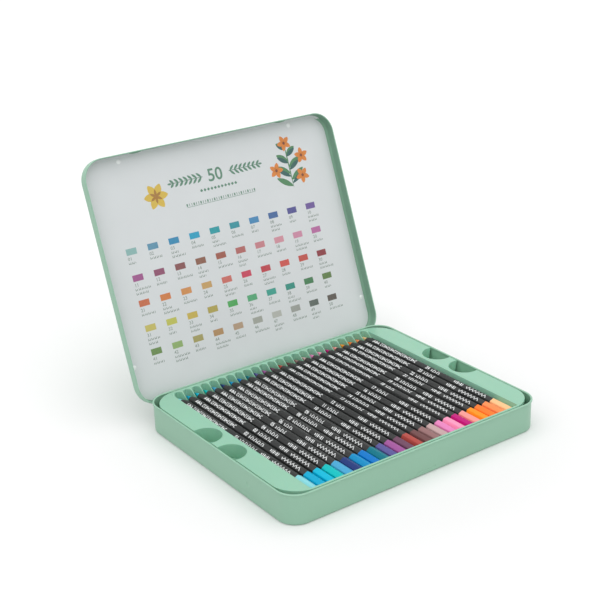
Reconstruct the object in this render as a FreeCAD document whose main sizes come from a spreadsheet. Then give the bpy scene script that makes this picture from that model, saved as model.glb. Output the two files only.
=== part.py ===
"""A flat hinged tin for coloured pencils, standing open.

Frame: millimetres, +Z up, origin on the table under the middle of the tin's base.
+Y points to the hinge side, +X to the right-hand side as one sits in front of the tin.
The pencils set the trays' sizes, the trays set the tin's, and the tin sets the lid's.
"""
import FreeCAD, Part
import math
import os
import Sketcher

SIZES = [
    # The pencils.
    ("pencil_flats", 6.6, "across the flats of the hexagonal casing"),
    ("pencil_length", 175.0, "from the flat end to the point"),
    ("cone_length", 9.6, "length of the sharpened cone"),
    ("lead_radius", 1.9, "radius of the coloured core"),
    ("point_radius", 0.45, "radius of the worn point"),
    # The moulded trays.
    ("upper_spacing", 0.08, "free space between the corners of two upper pencils"),
    ("lower_spacing", 0.55, "free space between the flats of two lower pencils"),
    ("groove_gap", 0.09, "free space between a pencil's edges and its groove"),
    ("tray_wall", 1.0, "wall of the mouldings"),
    ("upper_sink", 4.5, "from the upper tray's top down to its pencils' axes"),
    ("upper_foot", 0.9, "how far its outer skirt reaches below its grooves"),
    ("lower_sink", 4.5, "from the lower tray's top down to its pencils' axes"),
    ("lower_foot", 2.6, "how far its outer skirt reaches below its grooves"),
    ("rail_width", 16.15, "flat rail at each side of the bay"),
    ("bay_draft", 0.85, "how much the bay's sides lean outwards"),
    ("bay_front_gap", 0.4, "free space in front of the pencils' flat ends"),
    ("front_wall", 1.8, "wall in front of the bay"),
    ("back_wall", 3.2, "wall behind the pockets for the points"),
    ("pocket_radius", 3.3, "round end of a point's pocket"),
    ("pocket_end", 1.0, "free space beyond the pencils' points"),
    ("slope_start", 0.4, "from where the cones begin to the foot of the sloped wall"),
    ("slope_run", 8.3, "length in plan of the sloped wall behind the bay"),
    ("tray_corner", 21.0, "plan radius of the trays' corners"),
    ("notch_radius", 11.67, "the round finger notches in the upper tray's rails"),
    ("notch_inset", 1.5, "from the tray's side edge in to a notch's centre"),
    ("notch_place", 15.5, "from the middle of a rail to a notch's centre"),
    ("rail_hollow", 45.0, "length of the hollows under the ends of the rails"),
    ("rail_post", 2.0, "wall between such a hollow and a notch, and at its side"),
    ("hollow_corner", 2.0, "plan radius of those hollows' corners"),
    ("ridge_hollow", 2.2, "from a ridge between two grooves down to the channel under it"),
    ("groove_sole", 4.0, "flat width left under each groove between two channels"),
    # The drawn and folded sheet-metal base.
    ("tray_side_gap", 2.5, "free space between a tray's sides and the base's walls"),
    ("tray_front_gap", 1.3, "the same at the front"),
    ("tray_back_gap", 1.5, "the same at the back"),
    ("tray_sink", 1.0, "from the top of the rolled rim down to the upper tray"),
    ("tinplate", 0.4, "thickness of the painted sheet"),
    ("tin_corner", 14.7, "plan radius of the base's corners"),
    ("floor_edge", 1.2, "bevel between the base's walls and its floor"),
    ("rim_radius", 0.8, "radius of the rolled rim's round bead"),
    ("press_depth", 0.25, "how far the small marks are pressed into the walls"),
    ("dimple_radius", 2.5, "round mark in the left wall"),
    ("dimple_place", 43.0, "from the middle of the left wall forwards to its centre"),
    ("dimple_level", 12.0, "its height above the table"),
    ("ledge_width", 17.7, "length of the ledge pressed into the front wall"),
    ("ledge_tall", 2.0, "its height"),
    ("ledge_place", 2.7, "its middle along X"),
    ("ledge_level", 3.8, "its middle above the table"),
    # The lid.
    ("lid_height", 9.1, "from the lid's rim to its outer face"),
    ("lid_gap", 0.4, "free space between the rolled rim and the lid's hem"),
    ("hem", 0.4, "thickness of the turned-in hem"),
    ("hem_tall", 1.6, "height of the turned-in hem"),
    ("lid_rest_gap", 0.2, "free space between the rim and the closed lid's panel"),
    ("lid_edge", 1.5, "bevel between the lid's panel and its walls"),
    ("lid_opening", 110.3, "angle between the closed lid and the open one, in degrees"),
    ("snap_place", 67.0, "middle of each snap dent, from the middle of the front wall"),
    ("snap_width", 10.0, "length of a snap dent"),
    ("snap_tall", 2.6, "height of a snap dent"),
    ("snap_depth", 0.55, "how far a snap dent comes inwards"),
    ("snap_level", 3.2, "middle of a snap dent above the lid's rim"),
    # The two hinges.
    ("hinge_offset", 1.9, "from the back wall's outer face to the pin's axis"),
    ("hinge_drop", 8.6, "from the top of the rolled rim down to the pin's axis"),
    ("hinge_place", 60.0, "middle of each hinge, from the middle of the back wall"),
    ("hinge_width", 30.0, "length of a hinge along its pin"),
    ("knuckle_width", 9.0, "length of each of the base leaf's two knuckles"),
    ("knuckle_gap", 0.3, "free space beside a knuckle"),
    ("knuckle_radius", 1.2, "outside of a curled knuckle"),
    ("pin_radius", 0.6, "the wire pin"),
    ("pin_gap", 0.05, "radial play of the pin in its knuckles"),
    ("leaf", 0.4, "thickness of a hinge leaf"),
    ("base_leaf_foot", 5.0, "height of the base leaf's lower edge above the table"),
    ("lid_leaf_top", 6.0, "from the pin's axis to the lid leaf's far edge"),
]

# Turn of each upper pencil about its own axis, in degrees, from left to right: 0 has its printed
# face up, and about -30 has an edge up and that face turned to the left.
UPPER_ROLLS = [
    *(-30, -23, -22, -30, -30, -36, -35, -27, -38, -23, -29, -22),
    *(-3, -11, -19, -23, -22, -3, -8, -22, -10, -25, -21, -20),
]
# The lower pencils lie with an edge up, so that more of them fit side by side.
LOWER_ROLLS = [30] * 26
# Flat cuts that stand for the round cone of a sharpened end; the upper layer is open to view.
UPPER_CUTS = 12
LOWER_CUTS = 6

doc = FreeCAD.newDocument("PencilTin")
sheet = doc.addObject("Spreadsheet::Sheet", "Sizes")
for row, (alias, value, note) in enumerate(SIZES, start=1):
    sheet.set(f"A{row}", alias)
    sheet.set(f"B{row}", str(value))
    sheet.setAlias(f"B{row}", alias)
    sheet.set(f"C{row}", note)
doc.recompute()

# Sizes that several pieces share, each written once as a formula of the sheet's cells.
corner_radius = "(Sizes.pencil_flats / sqrt(3))"
groove_radius = f"({corner_radius} + Sizes.groove_gap)"
upper_pitch = f"(2 * {corner_radius} + Sizes.upper_spacing)"
lower_pitch = "(Sizes.pencil_flats + Sizes.lower_spacing)"

# Heights, from the base's floor up.
lower_underside = "(Sizes.tinplate + Sizes.lower_foot)"
lower_axis = f"({lower_underside} + Sizes.tray_wall + {groove_radius})"
lower_top = f"({lower_axis} + Sizes.lower_sink)"
upper_underside = f"({lower_top} + Sizes.upper_foot)"
upper_axis = f"({upper_underside} + Sizes.tray_wall + {groove_radius})"
upper_top = f"({upper_axis} + Sizes.upper_sink)"
rim_top = f"({upper_top} + Sizes.tray_sink)"

# Widths, from the middle outwards.
bay_half = f"({len(UPPER_ROLLS)} * {upper_pitch} / 2)"
tray_half = f"({bay_half} + Sizes.bay_draft + Sizes.rail_width)"
half_width = f"({tray_half} + Sizes.tray_side_gap + Sizes.tinplate)"

# Depths: the tin's outside is centred on the origin.
tray_depth = (
    "(Sizes.front_wall + Sizes.bay_front_gap + Sizes.pencil_length"
    " + Sizes.pocket_end + Sizes.back_wall)"
)
half_depth = (
    f"(({tray_depth} + Sizes.tray_front_gap + Sizes.tray_back_gap) / 2 + Sizes.tinplate)"
)
tray_front = f"(-{half_depth} + Sizes.tinplate + Sizes.tray_front_gap)"
tray_back = f"({tray_front} + {tray_depth})"
bay_front = f"({tray_front} + Sizes.front_wall)"
pencil_front = f"({bay_front} + Sizes.bay_front_gap)"
pencil_point = f"({pencil_front} + Sizes.pencil_length)"
slope_foot = f"({pencil_point} - Sizes.cone_length + Sizes.slope_start)"

# Along a pencil, from its flat end.
cone_start = "(Sizes.pencil_length - Sizes.cone_length)"
cone_taper = f"(Sizes.cone_length / ({corner_radius} - Sizes.point_radius))"
cone_shoulder = f"(Sizes.pencil_length - (Sizes.lead_radius - Sizes.point_radius) * {cone_taper})"

# The lid, seen from the hinge pin's axis while it is closed.
hinge_y = f"({half_depth} + Sizes.hinge_offset)"
hinge_z = f"({rim_top} - Sizes.hinge_drop)"
lid_over = "(Sizes.rim_radius + Sizes.lid_gap + Sizes.hem + Sizes.tinplate)"
lid_half = f"({half_width} + {lid_over})"
lid_back = f"({lid_over} - Sizes.hinge_offset)"
lid_front = f"({lid_back} - 2 * ({half_depth} + {lid_over}))"
lid_top = "(Sizes.hinge_drop + Sizes.lid_rest_gap + Sizes.tinplate)"
lid_rim = f"({lid_top} - Sizes.lid_height)"


def number(formula):
    """What a formula of the sheet's cells comes to."""
    return float(sheet.evalExpression(formula.replace("Sizes.", "")))


def new_body(label):
    body = doc.addObject("PartDesign::Body", label)
    body.Label = label
    return body


def origin_item(body, role):
    return next(item for item in body.Origin.OriginFeatures if item.Role == role)


def new_sketch(body, name, plane, offset="0"):
    """A sketch on one of the body's own planes, moved along that plane's normal by a formula."""
    sketch = body.newObject("Sketcher::SketchObject", name)
    sketch.AttachmentSupport = [(origin_item(body, plane), "")]
    sketch.MapMode = "FlatFace"
    sketch.setExpression("AttachmentOffset.Base.z", offset)
    return sketch


def fix_point(sketch, piece, end, place):
    """Bind one point of a sketch to a pair of formulas."""
    for kind, formula in zip(("DistanceX", "DistanceY"), place):
        row = sketch.addConstraint(Sketcher.Constraint(kind, -1, 1, piece, end, number(formula)))
        sketch.setExpression(f"Constraints[{row}]", formula)


def fix_radius(sketch, piece, radius):
    row = sketch.addConstraint(Sketcher.Constraint("Radius", piece, number(radius)))
    sketch.setExpression(f"Constraints[{row}]", radius)


def draw_circle(sketch, centre, radius):
    middle = FreeCAD.Vector(number(centre[0]), number(centre[1]), 0)
    piece = sketch.addGeometry(Part.Circle(middle, FreeCAD.Vector(0, 0, 1), number(radius)))
    fix_point(sketch, piece, 3, centre)
    fix_radius(sketch, piece, radius)


def draw_outline(sketch, stops):
    """A closed anticlockwise outline.

    Each stop is (across, along) where a straight line leaves for the next stop, or
    (across, along, centre across, centre along, radius) where an arc does; all are formulas.
    """
    places = [FreeCAD.Vector(number(stop[0]), number(stop[1]), 0) for stop in stops]
    pieces = []
    for stop, start, end in zip(stops, places, places[1:] + places[:1]):
        if len(stop) == 2:
            pieces.append(sketch.addGeometry(Part.LineSegment(start, end)))
            continue
        middle = FreeCAD.Vector(number(stop[2]), number(stop[3]), 0)
        circle = Part.Circle(middle, FreeCAD.Vector(0, 0, 1), number(stop[4]))
        angles = [math.atan2(place.y - middle.y, place.x - middle.x) for place in (start, end)]
        pieces.append(sketch.addGeometry(Part.ArcOfCircle(circle, *angles)))
    for piece, following in zip(pieces, pieces[1:] + pieces[:1]):
        sketch.addConstraint(Sketcher.Constraint("Coincident", piece, 2, following, 1))
    for piece, stop in zip(pieces, stops):
        fix_point(sketch, piece, 1, stop[:2])
        if len(stop) > 2:
            fix_radius(sketch, piece, stop[4])


def draw_box(sketch, left, right, front, back):
    draw_outline(sketch, [(left, front), (right, front), (right, back), (left, back)])


def draw_rounded_box(sketch, left, right, front, back, radius):
    near_left = f"({left} + {radius})"
    near_right = f"({right} - {radius})"
    near_front = f"({front} + {radius})"
    near_back = f"({back} - {radius})"
    stops = [
        (near_left, front),
        (near_right, front, near_right, near_front, radius),
        (right, near_front),
        (right, near_back, near_right, near_back, radius),
        (near_right, back),
        (near_left, back, near_left, near_back, radius),
        (left, near_back),
        (left, near_front, near_left, near_front, radius),
    ]
    draw_outline(sketch, stops)


def draw_inset_box(sketch, sides, radius, inset):
    """A rounded box that stays a distance inside another."""
    left, right, front, back = sides
    across = (f"({left} + {inset})", f"({right} - {inset})")
    along = (f"({front} + {inset})", f"({back} - {inset})")
    draw_rounded_box(sketch, *across, *along, f"({radius} - {inset})")


def pad(body, name, sketch, length, reverse=False, both=False):
    feature = body.newObject("PartDesign::Pad", name)
    feature.Profile = sketch
    feature.setExpression("Length", length)
    feature.Reversed = reverse
    feature.Midplane = both
    doc.recompute()
    return feature


def must_cut(body, name, before):
    """A cut has to take something away."""
    if body.Shape.Volume >= before:
        raise RuntimeError(f"{name} cuts nothing from {body.Label}")


def pocket(body, name, sketch, length, reverse=False, both=False):
    before = body.Shape.Volume
    feature = body.newObject("PartDesign::Pocket", name)
    feature.Profile = sketch
    feature.setExpression("Length", length)
    feature.Reversed = reverse
    feature.Midplane = both
    doc.recompute()
    must_cut(body, name, before)
    return feature


def repeat_along_x(body, name, features, pitch, count):
    """A row of copies of some features, at a pitch along X."""
    row = body.newObject("PartDesign::LinearPattern", name)
    row.Originals = features
    row.Direction = (origin_item(body, "X_Axis"), [""])
    row.setExpression("Length", f"{pitch} * {count - 1}")
    row.Occurrences = count
    body.Tip = row
    doc.recompute()
    return row


def chamfer(body, name, test, size):
    """Cut every edge whose bounding box passes the test back by the same length on both faces."""
    edges = [f"Edge{place}" for place, edge in enumerate(body.Shape.Edges, 1) if test(edge.BoundBox)]
    base = body.Tip
    feature = body.newObject("PartDesign::Chamfer", name)
    feature.Base = (base, edges)
    feature.setExpression("Size", size)
    doc.recompute()
    return feature


def level(height):
    """A test for what lies flat at a height."""
    return lambda box: abs(box.ZMin - number(height)) < 0.01 and abs(box.ZMax - number(height)) < 0.01


def shell_inwards(body, name, height):
    """Leave a wall of the sheet's thickness, open where the flat face at a height was."""
    is_open = level(height)
    faces = [f"Face{place}" for place, face in enumerate(body.Shape.Faces, 1) if is_open(face.BoundBox)]
    base = body.Tip
    feature = body.newObject("PartDesign::Thickness", name)
    feature.Base = (base, faces)
    feature.setExpression("Value", "Sizes.tinplate")
    feature.Reversed = True
    doc.recompute()
    return feature


def make_base_tin():
    """The drawn lower shell: floor, walls and a rim rolled round into a bead."""
    body = new_body("base_tin")
    outline = new_sketch(body, "TinOutline", "XY_Plane")
    sides = (f"-{half_width}", half_width, f"-{half_depth}", half_depth)
    draw_rounded_box(outline, *sides, "Sizes.tin_corner")
    bead_level = f"({rim_top} - Sizes.rim_radius)"
    pad(body, "TinBlock", outline, bead_level)
    chamfer(body, "FloorEdge", level("0"), "Sizes.floor_edge")
    shell_inwards(body, "TinShell", bead_level)

    path = new_sketch(body, "RimPath", "XY_Plane", bead_level)
    draw_rounded_box(path, *sides, "Sizes.tin_corner")
    section = new_sketch(body, "RimSection", "YZ_Plane")
    draw_bead(section)
    rim = body.newObject("PartDesign::AdditivePipe", "RolledRim")
    rim.Profile = section
    rim.Spine = (path, [f"Edge{place + 1}" for place in range(path.GeometryCount)])
    doc.recompute()

    # A small round mark pressed into the left wall: in on the outside, out on the inside.
    mark = ("-Sizes.dimple_place", "Sizes.dimple_level")
    inside = new_sketch(body, "DimpleInside", "YZ_Plane", f"-{half_width} + Sizes.tinplate")
    draw_circle(inside, mark, "Sizes.dimple_radius + Sizes.press_depth")
    pad(body, "DimpleBack", inside, "Sizes.press_depth")
    outside = new_sketch(body, "DimpleOutside", "YZ_Plane", f"-{half_width}")
    draw_circle(outside, mark, "Sizes.dimple_radius")
    pocket(body, "Dimple", outside, "Sizes.press_depth", reverse=True)

    # The ledge near the foot of the front wall, pressed in the same way.
    inside = new_sketch(body, "LedgeInside", "XZ_Plane", f"{half_depth} - Sizes.tinplate")
    draw_ledge(inside, "Sizes.press_depth")
    pad(body, "LedgeBack", inside, "Sizes.press_depth", reverse=True)
    outside = new_sketch(body, "LedgeOutside", "XZ_Plane", half_depth)
    draw_ledge(outside, "0")
    pocket(body, "Ledge", outside, "Sizes.press_depth")
    return body


def draw_bead(sketch):
    """The rolled rim's section: eight sides about a point on the front wall's outer face."""
    radius = "Sizes.rim_radius"
    corners = []
    for step in range(8):
        turn = 45 * step + 22.5
        across = f"-{half_depth} + {radius} / cos(22.5) * cos({turn})"
        corners.append((across, f"{rim_top} - {radius} + {radius} / cos(22.5) * sin({turn})"))
    draw_outline(sketch, corners)


def draw_ledge(sketch, grow):
    draw_box(
        sketch,
        f"Sizes.ledge_place - Sizes.ledge_width / 2 - {grow}",
        f"Sizes.ledge_place + Sizes.ledge_width / 2 + {grow}",
        f"Sizes.ledge_level - Sizes.ledge_tall / 2 - {grow} / 2",
        f"Sizes.ledge_level + Sizes.ledge_tall / 2 + {grow}",
    )


def lid_placement():
    """From the lid's own frame, closed about the pin's axis, to its open place."""
    place = FreeCAD.Vector(0, number(hinge_y), number(hinge_z))
    turn = FreeCAD.Rotation(FreeCAD.Vector(1, 0, 0), -number("Sizes.lid_opening"))
    return FreeCAD.Placement(place, turn)


def make_lid():
    """The shallow upper shell, drawn closed about the hinge pin's axis."""
    body = new_body("lid")
    outline = new_sketch(body, "LidOutline", "XY_Plane", lid_rim)
    corner = f"(Sizes.tin_corner + {lid_over})"
    sides = (f"-{lid_half}", lid_half, lid_front, lid_back)
    draw_rounded_box(outline, *sides, corner)
    pad(body, "LidBlock", outline, "Sizes.lid_height")
    chamfer(body, "LidEdge", level(lid_top), "Sizes.lid_edge")
    shell_inwards(body, "LidShell", lid_rim)

    hem = new_sketch(body, "HemSketch", "XY_Plane", lid_rim)
    draw_inset_box(hem, sides, corner, "Sizes.tinplate")
    draw_inset_box(hem, sides, corner, "(Sizes.tinplate + Sizes.hem)")
    pad(body, "Hem", hem, "Sizes.hem_tall")

    # The snap dents: the front wall is pressed in as a shallow bow.
    for side in (-1, 1):
        bulge = new_sketch(body, "SnapBulge", "XY_Plane", f"{lid_rim} + Sizes.snap_level")
        draw_bow(bulge, side, f"{lid_front} + Sizes.tinplate")
        pad(body, "Snap", bulge, "Sizes.snap_tall", both=True)
        dent = new_sketch(body, "SnapDent", "XY_Plane", f"{lid_rim} + Sizes.snap_level")
        draw_bow(dent, side, lid_front)
        pocket(body, "Dent", dent, "Sizes.snap_tall", both=True)

    # Windows in the back wall and its hem, where the knuckles turn.
    reach = "(Sizes.hinge_width / 2 + Sizes.knuckle_gap)"
    for side in (-1, 1):
        window = new_sketch(body, "WindowSketch", "XZ_Plane", f"-{lid_back}")
        middle = f"({side}) * Sizes.hinge_place"
        top = f"{lid_rim} + Sizes.hem_tall"
        draw_box(window, f"{middle} - {reach}", f"{middle} + {reach}", lid_rim, top)
        pocket(body, "Window", window, "3 * (Sizes.tinplate + Sizes.hem)", both=True)
    body.Placement = lid_placement()
    return body


def draw_bow(sketch, side, face):
    """A flat segment of a circle whose chord lies on a wall's face."""
    middle = f"({side}) * Sizes.snap_place"
    radius = "(Sizes.snap_width ^ 2 / (8 * Sizes.snap_depth) + Sizes.snap_depth / 2)"
    centre = f"{face} + Sizes.snap_depth - {radius}"
    left = f"{middle} - Sizes.snap_width / 2"
    right = f"{middle} + Sizes.snap_width / 2"
    draw_outline(sketch, [(left, face), (right, face, middle, centre, radius)])


def make_leaf(label, knuckles, plate, arm):
    """The right-hand hinge's leaf in the pin's frame: a plate, its arms and curled knuckles.

    knuckles lists (middle from the hinge's middle, length); plate and arm are
    (front, back, foot, top), seen along the pin.
    """
    body = new_body(label + "_right")
    plate_sketch = new_sketch(body, "PlateSketch", "YZ_Plane", "Sizes.hinge_place")
    draw_box(plate_sketch, *plate)
    pad(body, "Plate", plate_sketch, "Sizes.hinge_width", both=True)
    for middle, length in knuckles:
        arm_sketch = new_sketch(body, "ArmSketch", "YZ_Plane", f"Sizes.hinge_place + {middle}")
        draw_box(arm_sketch, *arm)
        pad(body, "Arm", arm_sketch, length, both=True)
        curl = new_sketch(body, "CurlSketch", "YZ_Plane", f"Sizes.hinge_place + {middle}")
        draw_circle(curl, ("0", "0"), "Sizes.knuckle_radius")
        pad(body, "Knuckle", curl, length, both=True)
    bore = new_sketch(body, "BoreSketch", "YZ_Plane", "Sizes.hinge_place")
    draw_circle(bore, ("0", "0"), "Sizes.pin_radius + Sizes.pin_gap")
    pocket(body, "Bore", bore, "2 * Sizes.hinge_width", both=True)
    return body


def mirror_pair(right, label):
    """A right-hand piece and its mirror image in one node."""
    left = doc.addObject("Part::Mirroring", label + "_left")
    left.Source = right
    left.Normal = FreeCAD.Vector(1, 0, 0)
    pair = doc.addObject("Part::Compound", label)
    pair.Label = label
    pair.Links = [right, left]
    doc.recompute()
    return pair


def make_hinges():
    """Two pinned hinges: two knuckles on each base leaf, one between them on each lid leaf."""
    radius = "Sizes.knuckle_radius"
    at_axis = FreeCAD.Placement(FreeCAD.Vector(0, number(hinge_y), number(hinge_z)), FreeCAD.Rotation())

    wall = "-Sizes.hinge_offset"
    strap_top = f"-{radius} + Sizes.leaf"
    plate = (wall, f"{wall} + Sizes.leaf", f"Sizes.base_leaf_foot - {hinge_z}", strap_top)
    strap = (wall, "0", f"-{radius}", strap_top)
    outer = "(Sizes.hinge_width - Sizes.knuckle_width) / 2"
    knuckles = [(f"(-{outer})", "Sizes.knuckle_width"), (f"({outer})", "Sizes.knuckle_width")]
    base_leaves = mirror_pair(make_leaf("base_hinges", knuckles, plate, strap), "base_hinges")
    base_leaves.Placement = at_axis

    inside = f"{lid_back} - Sizes.tinplate"
    plate_foot = f"{radius} + Sizes.knuckle_gap"
    plate = (f"{inside} - Sizes.leaf", inside, plate_foot, "Sizes.lid_leaf_top")
    strap = (f"{inside} - Sizes.leaf", inside, "Sizes.pin_radius", plate_foot)
    length = "Sizes.hinge_width - 2 * Sizes.knuckle_width - 2 * Sizes.knuckle_gap"
    lid_leaves = mirror_pair(make_leaf("lid_hinges", [("0", length)], plate, strap), "lid_hinges")
    lid_leaves.Placement = lid_placement()

    pin = doc.addObject("Part::Cylinder", "hinge_pins_right")
    pin.setExpression("Radius", "Sizes.pin_radius")
    pin.setExpression("Height", "Sizes.hinge_width")
    pin.setExpression("Placement.Base.x", "Sizes.hinge_place - Sizes.hinge_width / 2")
    pin.Placement.Rotation = FreeCAD.Rotation(FreeCAD.Vector(0, 1, 0), 90)
    doc.recompute()
    pins = mirror_pair(pin, "hinge_pins")
    pins.Placement = at_axis
    return [base_leaves, lid_leaves, pins]


def make_tray(label, foot, underside, axis, top, pitch, count):
    """A moulded tray: a trough for each pencil, which runs on into a tapering pocket for its point."""
    body = new_body(label)
    outline = new_sketch(body, "TrayOutline", "XY_Plane", foot)
    draw_rounded_box(outline, f"-{tray_half}", tray_half, tray_front, tray_back, "Sizes.tray_corner")
    pad(body, "TrayBlock", outline, f"{top} - {foot}")

    # Above the pencils' axes the bay is one space, with leaning sides and a sloped back.
    half = f"({count} * {pitch} / 2)"
    mouth = f"{half} + Sizes.bay_draft"
    bay_foot = new_sketch(body, "BayFoot", "XY_Plane", axis)
    draw_box(bay_foot, f"-{half}", half, bay_front, slope_foot)
    bay_mouth = new_sketch(body, "BayMouth", "XY_Plane", top)
    draw_box(bay_mouth, f"-({mouth})", mouth, bay_front, f"{slope_foot} + Sizes.slope_run")
    before = body.Shape.Volume
    bay = body.newObject("PartDesign::SubtractiveLoft", "Bay")
    bay.Profile = bay_foot
    bay.Sections = [bay_mouth]
    bay.Ruled = True
    doc.recompute()
    must_cut(body, "Bay", before)

    # Below the axes each pencil has a trough: half of an octagon round the pencil's corners.
    first = f"(-{count - 1} / 2 * {pitch})"
    trough = new_sketch(body, "TroughSection", "XZ_Plane", f"-{bay_front}")
    bend = f"({groove_radius} * tan(22.5))"
    stops = [
        (f"{first} - {groove_radius}", axis),
        (f"{first} - {groove_radius}", f"{axis} - {bend}"),
        (f"{first} - {bend}", f"{axis} - {groove_radius}"),
        (f"{first} + {bend}", f"{axis} - {groove_radius}"),
        (f"{first} + {groove_radius}", f"{axis} - {bend}"),
        (f"{first} + {groove_radius}", axis),
    ]
    draw_outline(trough, stops)
    groove = pocket(body, "Trough", trough, f"{slope_foot} - {bay_front}")

    # Behind it the groove runs on into the slope as a tapering, round-ended pocket for the point.
    point_end = f"({pencil_point} + Sizes.pocket_end)"
    round_start = f"({point_end} - Sizes.pocket_radius)"
    turn = "(Sizes.pocket_radius * tan(22.5))"
    plan = new_sketch(body, "PocketPlan", "XY_Plane", f"{axis} - {groove_radius}")
    stops = [
        (f"{first} - {groove_radius}", slope_foot),
        (f"{first} + {groove_radius}", slope_foot),
        (f"{first} + Sizes.pocket_radius", f"{round_start} + {turn}"),
        (f"{first} + {turn}", point_end),
        (f"{first} - {turn}", point_end),
        (f"{first} - Sizes.pocket_radius", f"{round_start} + {turn}"),
    ]
    draw_outline(plan, stops)
    height = f"{top} - {axis} + {groove_radius}"
    point_pocket = pocket(body, "PointPocket", plan, height, reverse=True)
    repeat_along_x(body, "Troughs", [groove, point_pocket], pitch, count)

    # The underside is hollow: under the grooves, under each ridge and under the ends of the rails.
    hollow = new_sketch(body, "HollowPlan", "XY_Plane", foot)
    hollow_back = f"{slope_foot} + Sizes.slope_run"
    draw_box(hollow, f"-{half}", half, f"{tray_front} + Sizes.tray_wall", hollow_back)
    pocket(body, "Hollow", hollow, f"{underside} - {foot}", reverse=True)

    channel = new_sketch(body, "ChannelSection", "XZ_Plane", f"-{bay_front}")
    valley = f"({axis} - {bend} - ({groove_radius} - {pitch} / 2))"
    stops = [
        (f"{first} + Sizes.groove_sole / 2", foot),
        (f"{first} + {pitch} - Sizes.groove_sole / 2", foot),
        (f"{first} + {pitch} - Sizes.groove_sole / 2", underside),
        (f"{first} + {pitch} / 2", f"{valley} - Sizes.ridge_hollow"),
        (f"{first} + Sizes.groove_sole / 2", underside),
    ]
    draw_outline(channel, stops)
    under_ridge = pocket(body, "RidgeChannel", channel, f"{slope_foot} - {bay_front}")
    repeat_along_x(body, "RidgeChannels", [under_ridge], pitch, count - 1)

    rails = new_sketch(body, "RailHollows", "XY_Plane", foot)
    near = f"{mouth} + Sizes.tray_wall"
    far = f"{tray_half} - Sizes.rail_post"
    start = "(Sizes.notch_place + Sizes.notch_radius + Sizes.rail_post)"
    end = f"({start} + Sizes.rail_hollow)"
    for left, right in ((f"({near})", f"({far})"), (f"(-({far}))", f"(-({near}))")):
        draw_rounded_box(rails, left, right, start, end, "Sizes.hollow_corner")
        draw_rounded_box(rails, left, right, f"(-{end})", f"(-{start})", "Sizes.hollow_corner")
    pocket(body, "RailHollow", rails, f"{top} - Sizes.tray_wall - {foot}", reverse=True)
    return body


def cut_finger_notches(body):
    """Two round bites in each rail of the upper tray, for lifting it out."""
    notches = new_sketch(body, "NotchPlan", "XY_Plane", upper_top)
    for side in (-1, 1):
        for end in (-1, 1):
            middle = (f"({side}) * ({tray_half} - Sizes.notch_inset)", f"({end}) * Sizes.notch_place")
            draw_circle(notches, middle, "Sizes.notch_radius")
    pocket(body, "Notches", notches, f"{upper_top} - {lower_top}")


def draw_regular(sketch, count, radius):
    """A regular polygon about the origin, with a corner on the horizontal axis."""
    turns = [360 / count * step for step in range(count)]
    draw_outline(sketch, [(f"{radius} * cos({turn})", f"{radius} * sin({turn})") for turn in turns])


def sharpen(body, cuts):
    """Flat cuts all round, which close in on the point as the sharpener's cone does."""
    shaving = new_sketch(body, "Shaving", "YZ_Plane")
    clear = f"({corner_radius} + Sizes.point_radius)"
    stops = [
        (cone_start, corner_radius),
        ("Sizes.pencil_length", "Sizes.point_radius"),
        ("Sizes.pencil_length", clear),
        (cone_start, clear),
    ]
    draw_outline(shaving, stops)
    cut = pocket(body, "Cut", shaving, f"4 * {clear}", both=True)
    around = body.newObject("PartDesign::PolarPattern", "Sharpening")
    around.Originals = [cut]
    around.Axis = (origin_item(body, "Y_Axis"), [""])
    around.Angle = 360
    around.Occurrences = cuts
    body.Tip = around
    doc.recompute()


def make_barrel(label, cuts):
    """A hexagonal casing along +Y in the pencil's own frame, down to where its lead comes bare."""
    body = new_body(label)
    section = new_sketch(body, "Hexagon", "XZ_Plane")
    draw_regular(section, 6, corner_radius)
    pad(body, "Casing", section, cone_shoulder, reverse=True)
    sharpen(body, cuts)
    return body


def make_lead(label, cuts):
    """The bare point of the coloured core, seated on the casing's end and sharpened with it."""
    body = new_body(label)
    section = new_sketch(body, "LeadSection", "XZ_Plane", f"-{cone_shoulder}")
    draw_regular(section, 6, corner_radius)
    pad(body, "Core", section, f"Sizes.pencil_length - {cone_shoulder}", reverse=True)
    sharpen(body, cuts)
    return body


def pencil_placements(rolls, pitch, axis):
    """Where each pencil of a layer lies, from left to right, with its turn about its own axis."""
    placements = []
    for place, roll in enumerate(rolls):
        across = (place - (len(rolls) - 1) / 2) * number(pitch)
        where = FreeCAD.Vector(across, number(pencil_front), number(axis))
        placements.append(FreeCAD.Placement(where, FreeCAD.Rotation(FreeCAD.Vector(0, 1, 0), roll)))
    return placements


def lay_out(label, piece, placements):
    """Many copies of one piece in one node."""
    group = doc.addObject("Part::Feature", label)
    group.Label = label
    copies = []
    for placement in placements:
        copy = piece.Shape.copy()
        copy.Placement = placement
        copies.append(copy)
    group.Shape = Part.makeCompound(copies)
    return group


def make_pencils():
    """The upper layer, one casing and one core each, and the lower layer as two groups."""
    upper = pencil_placements(UPPER_ROLLS, upper_pitch, upper_axis)
    nodes = []
    for place, placement in enumerate(upper, start=1):
        for maker, word in ((make_barrel, "barrel"), (make_lead, "lead")):
            piece = maker(f"pencil_{place:02d}_{word}", UPPER_CUTS)
            piece.Placement = placement
            nodes.append(piece)
    lower = pencil_placements(LOWER_ROLLS, lower_pitch, lower_axis)
    for maker, word in ((make_barrel, "barrel"), (make_lead, "lead")):
        nodes.append(lay_out(f"lower_{word}s", maker(f"lower_{word}", LOWER_CUTS), lower))
    return nodes


def check_objects():
    doc.recompute()
    for item in doc.Objects:
        if "Invalid" in item.State or "Error" in item.State:
            raise RuntimeError(f"{item.Label} could not be built: {item.State}")


def write_parts(nodes):
    os.makedirs("parts", exist_ok=True)
    for node in nodes:
        if node.Shape.isNull() or not node.Shape.isValid():
            raise RuntimeError(f"{node.Label} has no valid shape")
        node.Shape.exportStep(f"parts/{node.Label}.step")


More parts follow.
